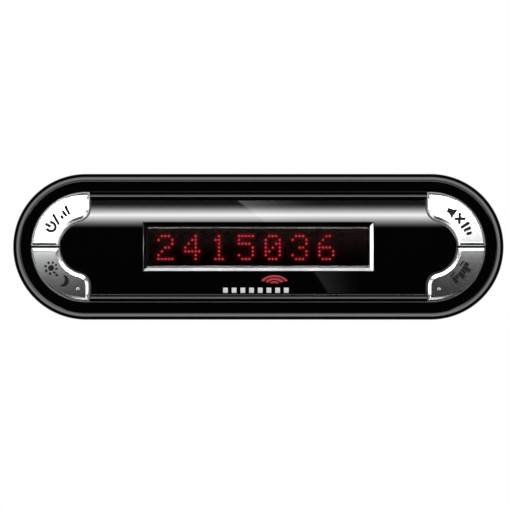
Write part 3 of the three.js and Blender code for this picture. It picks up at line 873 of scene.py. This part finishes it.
# ---- Screws and pad ----
HEAD_RADIUS = 1.9
HEAD_HEIGHT = 1.5
SHAFT_RADIUS = 1.1
SHAFT_LENGTH = 10.0
SHAFT_POINT = 1.0
SHAFT_TIP_RADIUS = 0.25
HEAD_FLAT_RADIUS = 0.3
RECESS_DEPTH = 0.8
RECESS_ARM = 0.58  # half the length and half the width of the cross, as shares of the head's radius
RECESS_HALF_WIDTH = 0.12


def lathe(x, up, profile, count=32):
    skin = Skin()
    rings = []
    for radius, out in profile:
        rings.append([(px, pup, out) for px, pup in disc_outline(x, up, radius, count)])
    skin.solid(rings)
    return skin


def cover_screw(number, material):
    node = f"cover_screw_{number}"
    x, up = centre_of(node)
    back = out_of(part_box(node)[1].y)
    under = back + HEAD_HEIGHT
    crown_round = []
    for a in steps_between(0, QUARTER_TURN, 6):
        radius = HEAD_RADIUS * (0.55 + 0.45 * math.sin(a))
        crown_round.append((radius, under - HEAD_HEIGHT * (0.35 + 0.65 * math.cos(a))))
    profile = [(HEAD_FLAT_RADIUS, back)] + crown_round + [(HEAD_RADIUS, under), (SHAFT_RADIUS, under)]
    profile.append((SHAFT_RADIUS, under + SHAFT_LENGTH - SHAFT_POINT))
    profile.append((SHAFT_TIP_RADIUS, under + SHAFT_LENGTH - 0.05))
    arm, half = HEAD_RADIUS * RECESS_ARM, HEAD_RADIUS * RECESS_HALF_WIDTH
    cross = [
        prism(box_outline(x - arm, x + arm, up - half, up + half), back - 1, back + RECESS_DEPTH),
        prism(box_outline(x - half, x + half, up - arm, up + arm), back - 1, back + RECESS_DEPTH),
    ]
    skin = lathe(x, up, profile)
    return piece(f"screw_cover_{number}", skin, material, "head", [node], cutters=cross)


def pad(material):
    low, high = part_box("mounting_pad")
    half_x, half_up = half_size("mounting_pad")
    back, front = out_of(high.y), out_of(low.y)
    skin = Skin()
    rings = []
    for a in steps_between(0, QUARTER_TURN, 4):
        inset = PAD_ROUND * (1 - math.sin(a))
        outline = rounded_box(0, 0, half_x - inset, half_up - inset, PAD_CORNER - SEAT - inset)
        rings.append([(x, up, back + PAD_ROUND * (1 - math.cos(a))) for x, up in outline])
    rings.append([(x, up, front) for x, up in rounded_box(0, 0, half_x, half_up, PAD_CORNER - SEAT)])
    skin.solid(rings)
    made = piece("pad_mounting", skin, material, "head", ["mounting_pad"])
    return made


# ---- Materials ----
class Nodes:
    """Shorthand for building a shader tree."""

    def __init__(self, tree):
        self.tree = tree
        self.tree.nodes.clear()

    def add(self, kind, inputs=(), **settings):
        node = self.tree.nodes.new(kind)
        for name, value in settings.items():
            setattr(node, name, value)
        for name, value in dict(inputs).items():
            self.feed(node.inputs[name], value)
        return node

    def feed(self, socket, value):
        if isinstance(value, bpy.types.NodeSocket):
            self.tree.links.new(value, socket)
        else:
            socket.default_value = value

    def maths(self, operation, *values):
        return self.add("ShaderNodeMath", enumerate(values), operation=operation).outputs[0]

    def ramp(self, value, low, high, to_low=0.0, to_high=1.0, kind="SMOOTHSTEP"):
        names = {"Value": value, "From Min": low, "From Max": high, "To Min": to_low, "To Max": to_high}
        return self.add("ShaderNodeMapRange", names, interpolation_type=kind).outputs[0]

    def noise(self, place, scale, detail=3.0, rough=0.5):
        names = {"Vector": place, "Scale": scale, "Detail": detail, "Roughness": rough}
        return self.add("ShaderNodeTexNoise", names).outputs["Fac"]

    def blend(self, factor, one, other):
        mix = self.add("ShaderNodeMix", data_type="RGBA")
        self.feed(mix.inputs["Factor"], factor)
        self.feed(mix.inputs[6], one)
        self.feed(mix.inputs[7], other)
        return mix.outputs[2]


def rgb(red, green, blue):
    return (red, green, blue, 1.0)


def tinted(colour, share):
    return rgb(*(min(channel * share, 1.0) for channel in colour[:3]))


def new_material(name):
    made = bpy.data.materials.new(name)
    made.use_nodes = True
    return made, Nodes(made.node_tree)


def principled(nodes, values):
    shader = nodes.add("ShaderNodeBsdfPrincipled", values)
    nodes.add("ShaderNodeOutputMaterial", {"Surface": shader.outputs[0]})


def finish(name, colour, roughness, metallic=0.0, ior=1.5, mottle=0.08, grain=900.0, relief=0.05,
           wander=0.1, **extra):
    """A surface with a mottled colour, wandering roughness and a fine grain.

    mottle and wander are how far colour and roughness stray; grain is the bumps per metre.
    """
    made, nodes = new_material(name)
    place = nodes.add("ShaderNodeTexCoord").outputs["Object"]
    broad = nodes.noise(place, 160.0)
    fine = nodes.noise(place, grain, 4.0, 0.6)
    base = nodes.blend(broad, tinted(colour, 1 - mottle), tinted(colour, 1 + mottle))
    rough = nodes.ramp(broad, 0.3, 0.7, roughness * (1 - wander), roughness * (1 + wander), "LINEAR")
    bump = nodes.add("ShaderNodeBump", {"Height": fine, "Strength": relief, "Distance": 0.0001})
    values = {"Base Color": base, "Roughness": rough, "Normal": bump.outputs[0], "Metallic": metallic,
              "IOR": ior}
    values.update(extra)
    principled(nodes, values)
    return made


def glowing(name, colour, deep_colour, strength):
    """A lit dot, speckled between a bright colour and a deeper one."""
    made, nodes = new_material(name)
    place = nodes.add("ShaderNodeTexCoord").outputs["Object"]
    speckle = nodes.noise(place, 5200.0, 2.0)
    mixed = nodes.blend(nodes.ramp(speckle, 0.42, 0.62), colour, deep_colour)
    values = {"Base Color": rgb(0.05, 0.004, 0.004), "Roughness": 0.4, "Emission Color": mixed,
              "Emission Strength": strength}
    principled(nodes, values)
    return made


def painted_glow_material(name, colour, strength):
    """A dark sheet with painted glow: it emits by the painted glow kept at each of its points, light spread
    round the lit dots.
    """
    made, nodes = new_material(name)
    place = nodes.add("ShaderNodeTexCoord").outputs["Object"]
    grain = nodes.noise(place, 2400.0)
    painted_glow = nodes.add("ShaderNodeAttribute", attribute_name="painted_glow").outputs["Fac"]
    power = nodes.maths("MULTIPLY", painted_glow, strength)
    base = nodes.blend(grain, rgb(0.004, 0.003, 0.003), rgb(0.010, 0.006, 0.006))
    values = {"Base Color": base, "Roughness": 0.6, "Specular IOR Level": 0.1, "Emission Color": colour,
              "Emission Strength": power}
    principled(nodes, values)
    return made


BLACK_IOR = 1.5
BLACK_F0 = ((BLACK_IOR - 1) / (BLACK_IOR + 1)) ** 2
gloss_black = finish("gloss_black", rgb(0.0012, 0.0012, 0.0016), 0.03, ior=BLACK_IOR, relief=0.004,
                     grain=700.0)
silver = finish("silver", rgb(0.84, 0.85, 0.86), 0.19, metallic=0.97, mottle=0.03, grain=5200.0, relief=0.12)
chrome = finish("chrome", rgb(0.88, 0.88, 0.89), 0.08, metallic=1.0, mottle=0.02, relief=0.001)
matt_black = finish("matt_black", rgb(0.012, 0.012, 0.013), 0.52, mottle=0.15, grain=2600.0, relief=0.5)
ink_dark = finish("ink_dark", rgb(0.01, 0.01, 0.011), 0.6, grain=4000.0, **{"Specular IOR Level": 0.12})
ink_red = finish("ink_red", rgb(0.4, 0.02, 0.035), 0.5, mottle=0.12, grain=4000.0)
ink_white = finish("ink_white", rgb(0.86, 0.86, 0.85), 0.5, mottle=0.03, grain=4000.0)
foam = finish("foam", rgb(0.02, 0.02, 0.021), 0.95, mottle=0.3, grain=1500.0, relief=1.0)
steel = finish("steel", rgb(0.42, 0.42, 0.43), 0.3, metallic=1.0, grain=2500.0, relief=0.15)
gold = finish("gold", rgb(0.75, 0.52, 0.2), 0.25, metallic=1.0, relief=0.05)
laminate = finish("laminate", rgb(0.012, 0.09, 0.035), 0.4, mottle=0.2, grain=1800.0, relief=0.1)
package = finish("package", rgb(0.015, 0.015, 0.017), 0.6, mottle=0.15, grain=3000.0, relief=0.2)
housing_dark = finish("housing_dark", rgb(0.006, 0.005, 0.005), 0.5, mottle=0.2, grain=2500.0, relief=0.1)
unlit = finish("unlit", rgb(0.010, 0.005, 0.005), 0.4, mottle=0.1, grain=4000.0)
plunger_white = finish("plunger_white", rgb(0.7, 0.68, 0.62), 0.5, grain=2500.0)
smoked = finish("smoked", rgb(0.2, 0.085, 0.09), 0.1, mottle=0.03, relief=0.003,
                **{"Transmission Weight": 1.0})
lit = glowing("lit", rgb(1.0, 0.42, 0.5), rgb(1.0, 0.12, 0.16), 2.7)
# painted glow round the lit dots, emitted by a sheet that is no lamp
painted_glow_red = painted_glow_material("painted_glow_red", rgb(1.0, 0.02, 0.05), 0.3)

# ---- The object ----
front_housing(gloss_black)
rear_cover(matt_black)
plate = faceplate(gloss_black)
window_trim(chrome)
window_lens(smoked)
SYMBOLS = [
    ("power_volume", -1, 1, power_and_volume),
    ("dark", -1, -1, moon_and_sun),
    ("quiet", 1, 1, muted_speaker),
    ("city", 1, -1, skyline),
]
keys = []
for key_name, side, level, draw in SYMBOLS:
    keys.append(key(key_name, side, level, silver))
    symbol = Print(on_key(side, level), key_top)
    draw(symbol)
    piece(f"symbol_{key_name}", symbol.skin, ink_dark, f"key_{key_name}")
piece("printed_mark", generic_mark().skin, ink_red, "head")
piece("printed_bars", plain_bars().skin, ink_white, "head")
DOTS = dot_places()
lit_places = [(x, up) for x, up, shines in DOTS if shines]
dark_places = [(x, up) for x, up, shines in DOTS if not shines]
# painted glow round the lit dots, on a sheet that is no lamp
painted_glow_sheet(lit_places, painted_glow_red)
lit_discs = disc_skin(lit_places, DOT_RADIUS, DOT_BACK, DOT_FRONT)
piece("dots_lit", lit_discs, lit, "head")
dark_discs = disc_skin(dark_places, DOT_RADIUS, DOT_BACK, DOT_FRONT - DOT_SINK)
piece("dots_unlit", dark_discs, unlit, "head")
for number in range(1, 5):
    cover_screw(number, steel)
pad(foam)

JACK_EASE = 0.12
CONTACT_EASE = 0.04

# CAD nodes that keep their shape: material, and the width in millimetres that their edges are eased by
KEPT = {
    "display_module": (housing_dark, 0),
    "display_gasket": (foam, 0),
    "circuit_board": (laminate, 0),
    "microcontroller": (package, 0),
    "display_driver_chip": (package, 0),
    "voltage_regulator": (package, 0),
    "supply_capacitor": (steel, 0),
    "clock_crystal": (steel, 0),
    "sounder": (package, 0),
    "sounder_gasket": (foam, 0),
    "cable_jack": (matt_black, JACK_EASE),
}
for number in range(1, 5):
    KEPT[f"jack_contact_{number}"] = (gold, CONTACT_EASE)
    KEPT[f"board_screw_{number}"] = (steel, 0)
for key_name, *_ in SYMBOLS:
    KEPT[f"switch_body_{key_name}"] = (package, 0)
    KEPT[f"switch_plunger_{key_name}"] = (plunger_white, 0)
for name, (finish_for, easing) in KEPT.items():
    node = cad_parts[name]
    for place in node.material_slots:
        place.material = finish_for
    if easing:
        bevel = node.modifiers.new("eased_edges", "BEVEL")
        bevel.width = easing * MM
        bevel.segments = 3
        bevel.limit_method = "ANGLE"
        bevel.angle_limit = math.radians(35)

# ---- Light, floor and camera ----
WHITE = rgb(1.0, 1.0, 1.0)


def studio_world():
    """White room for the eye, even light for matt surfaces, and long soft lamps for glossy ones."""
    world = bpy.data.worlds.new("studio")
    bpy.context.scene.world = world
    world.use_nodes = True
    nodes = Nodes(world.node_tree)
    way = nodes.add("ShaderNodeTexCoord").outputs["Generated"]
    split = nodes.add("ShaderNodeSeparateXYZ", {"Vector": way})
    x, y, z = split.outputs
    ahead = nodes.maths("MULTIPLY", y, -1.0)
    degrees = 180 / math.pi
    lift = nodes.maths("MULTIPLY", nodes.maths("ARCTAN2", z, ahead), degrees)
    swing = nodes.maths("MULTIPLY", nodes.maths("ARCTAN2", x, ahead), degrees)
    off_axis = nodes.maths("MULTIPLY", nodes.maths("ARCCOSINE", ahead), degrees)

    def band(value, low, high, soft):
        rise = nodes.ramp(value, low - soft, low + soft)
        fall = nodes.ramp(value, high - soft, high + soft)
        return nodes.maths("SUBTRACT", rise, fall)

    def times(*values):
        product = values[0]
        for value in values[1:]:
            product = nodes.maths("MULTIPLY", product, value)
        return product

    def lamp(low_swing, high_swing, low_lift, high_lift, strength):
        """A soft-edged rectangle, in degrees of swing and lift from straight ahead."""
        return times(band(swing, low_swing, high_swing, 2), band(lift, low_lift, high_lift, 2), strength)

    # overhead strip lamp, brightest at the middle of its height, with a faint haze above it
    rise = nodes.ramp(lift, 13.6, 23.1, kind="LINEAR")
    fall = nodes.ramp(lift, 31.3, 23.1, kind="LINEAR")
    profile = nodes.maths("POWER", nodes.maths("MINIMUM", rise, fall), 1.9)
    haze = times(band(lift, 30, 37, 1), 0.008 / 0.93)
    strip = times(nodes.maths("ADD", profile, haze), band(x, -0.55, 0.55, 0.08), 0.93 / BLACK_F0)
    # ring lamp all round the object, for its rounded rim
    around = nodes.maths("SUBTRACT", nodes.ramp(off_axis, 54, 76), nodes.ramp(off_axis, 87, 103))
    ring = times(around, 0.15 / BLACK_F0)
    top = times(band(off_axis, 37, 53, 1), nodes.ramp(z, 0.25, 0.4), 3.0)
    left_low = lamp(-39, -27, -60, 0, 3.0)
    left = lamp(-54, -41, -60, 17, 2.2)
    right_low = lamp(27, 39, -60, -2, 3.0)
    behind = times(nodes.ramp(off_axis, 146, 152), 0.8)
    total = strip
    for more in (ring, top, left_low, left, right_low, behind):
        total = nodes.maths("ADD", total, more)
    glossy = nodes.add("ShaderNodeBackground", {"Color": WHITE, "Strength": total})
    sky = nodes.ramp(z, -1.0, 1.0, 0.55, 1.2, "LINEAR")
    diffuse = nodes.add("ShaderNodeBackground", {"Color": WHITE, "Strength": sky})
    seen = nodes.add("ShaderNodeBackground", {"Color": WHITE, "Strength": 1.0})
    ray = nodes.add("ShaderNodeLightPath")
    lit_by = nodes.add("ShaderNodeMixShader", {"Fac": ray.outputs["Is Glossy Ray"]})
    nodes.feed(lit_by.inputs[1], diffuse.outputs[0])
    nodes.feed(lit_by.inputs[2], glossy.outputs[0])
    shown = nodes.add("ShaderNodeMixShader", {"Fac": ray.outputs["Is Camera Ray"]})
    nodes.feed(shown.inputs[1], lit_by.outputs[0])
    nodes.feed(shown.inputs[2], seen.outputs[0])
    nodes.add("ShaderNodeOutputWorld", {"Surface": shown.outputs[0]})


CARD_AWAY = 80.0
SWEEP_ROWS = (3.0, 9.9)  # the rows of the face, above and below its middle line, that the sweep crosses
SWEEP_EDGE = (6.8, -0.98, -0.022)  # its left edge along x, as powers of the height up
SWEEP_REACH = (7.0, 16.7)  # how far it fades to the right, at the bottom and at the top
SWEEP_LOW, SWEEP_RISE = 0.012, 0.076
SWEEP_FADE = 1.7
KEY_CARD_SPAN = (28, 60)
KEY_CARD_ROWS = (-11.5, 5.5)
KEY_CARD_ABOVE = 0.75
KEY_CARD_BELOW = 0.58
KEY_CARD_TURN = 0.4  # how far below the middle line the upper strength starts
KEY_CARD_FALL = 3.2
KEY_CARD_LEAN = 85  # distance along x over which the lower strength would fall to nothing


def seen_in_crown(up, radius):
    """The height on a card at which a level view meets it after a crown of that radius reflects it."""
    return up + (CARD_AWAY - crown(up)) * math.tan(2 * math.asin(up / radius))


def light_card(name, skin, strengths, receivers):
    """A see-through sheet that glows by a strength for each of its points, and lights only the receivers."""
    mesh = bpy.data.meshes.new(name)
    mesh.from_pydata([at(*point) for point in skin.points], [], skin.faces)
    attribute = mesh.attributes.new("strength", "FLOAT", "POINT")
    for value, strength in zip(attribute.data, strengths):
        value.value = strength
    card = add_object(name, mesh)
    made, nodes = new_material(name)
    power = nodes.add("ShaderNodeAttribute", attribute_name="strength").outputs["Fac"]
    light = nodes.add("ShaderNodeEmission", {"Color": WHITE, "Strength": power})
    clear = nodes.add("ShaderNodeBsdfTransparent")
    both = nodes.add("ShaderNodeAddShader")
    nodes.feed(both.inputs[0], light.outputs[0])
    nodes.feed(both.inputs[1], clear.outputs[0])
    nodes.add("ShaderNodeOutputMaterial", {"Surface": both.outputs[0]})
    mesh.materials.append(made)
    card.visible_camera = False
    card.visible_diffuse = False
    card.visible_shadow = False
    card.visible_transmission = False
    lit_by_card = bpy.data.collections.new("lit_by_" + name)
    for receiver in receivers:
        lit_by_card.objects.link(receiver)
    card.light_linking.receiver_collection = lit_by_card


def gloss_card(receiver):
    """A faint card in front of the face, whose curved left edge shows as a soft sweep in the crown."""
    skin = Skin()
    strengths = []
    across = steps_between(0, 1, 16)
    near, far = SWEEP_ROWS
    for start, end in ((-far, -near), (near, far)):
        rows = []
        for up in steps_between(start, end, 24):
            reflected = seen_in_crown(up, CROWN_RADIUS)
            left = sum(factor * up**power for power, factor in enumerate(SWEEP_EDGE))
            share = (up + far) / (2 * far)
            reach = SWEEP_REACH[0] + (SWEEP_REACH[1] - SWEEP_REACH[0]) * share
            rows.append([(left + reach * t, reflected, CARD_AWAY) for t in across])
            peak = (SWEEP_LOW + SWEEP_RISE * share**2) / BLACK_F0
            strengths += [peak * (1 - t) ** SWEEP_FADE for t in across]
        skin.loft(rows, False)
    light_card("gloss_card", skin, strengths, [receiver])


def key_card(receivers):
    """A soft card in front of the keys at each end, bright above and to the left and dark below."""
    skin = Skin()
    strengths = []
    near, far = KEY_CARD_SPAN
    for start, end in ((-far, -near), (near, far)):
        rows = []
        across = steps_between(start, end, 6)
        for up in steps_between(*KEY_CARD_ROWS, 24):
            reflected = seen_in_crown(up, KEY_CROWN)
            rows.append([(x, reflected, CARD_AWAY) for x in across])
            above = KEY_CARD_ABOVE * min(max(up + KEY_CARD_TURN, 0), 1)
            below = KEY_CARD_BELOW * math.exp(min(up, 0) / KEY_CARD_FALL)
            strengths += [above + below * (1 - x / KEY_CARD_LEAN) for x in across]
        skin.loft(rows, False)
    light_card("key_card", skin, strengths, receivers)


FLOOR_HALF = 1.5


def floor():
    mesh = bpy.data.meshes.new("floor")
    corners = box_outline(-FLOOR_HALF, FLOOR_HALF, -FLOOR_HALF, FLOOR_HALF)
    mesh.from_pydata([(x, y, 0) for x, y in corners], [], [(0, 1, 2, 3)])
    ground = add_object("floor", mesh)
    paper = finish("floor_paper", rgb(0.86, 0.86, 0.855), 0.9, mottle=0.01, grain=300.0, relief=0.02)
    mesh.materials.append(paper)
    ground.visible_glossy = False


CAMERA_SPAN = 0.1027  # metres; the other three are millimetres in the working frame
CAMERA_ASIDE = -0.675
CAMERA_DOWN = -1.65
CAMERA_AWAY = 160.0


def camera():
    lens = bpy.data.cameras.new("camera")
    lens.type = "ORTHO"
    lens.ortho_scale = CAMERA_SPAN
    seen_from = bpy.data.objects.new("camera", lens)
    seen_from.location = at(CAMERA_ASIDE, CAMERA_DOWN, CAMERA_AWAY)
    seen_from.rotation_euler = (QUARTER_TURN, 0, 0)
    bpy.context.scene.collection.objects.link(seen_from)
    bpy.context.scene.camera = seen_from


studio_world()
gloss_card(plate)
key_card(keys)
floor()
camera()
bpy.context.scene.view_settings.view_transform = "Standard"
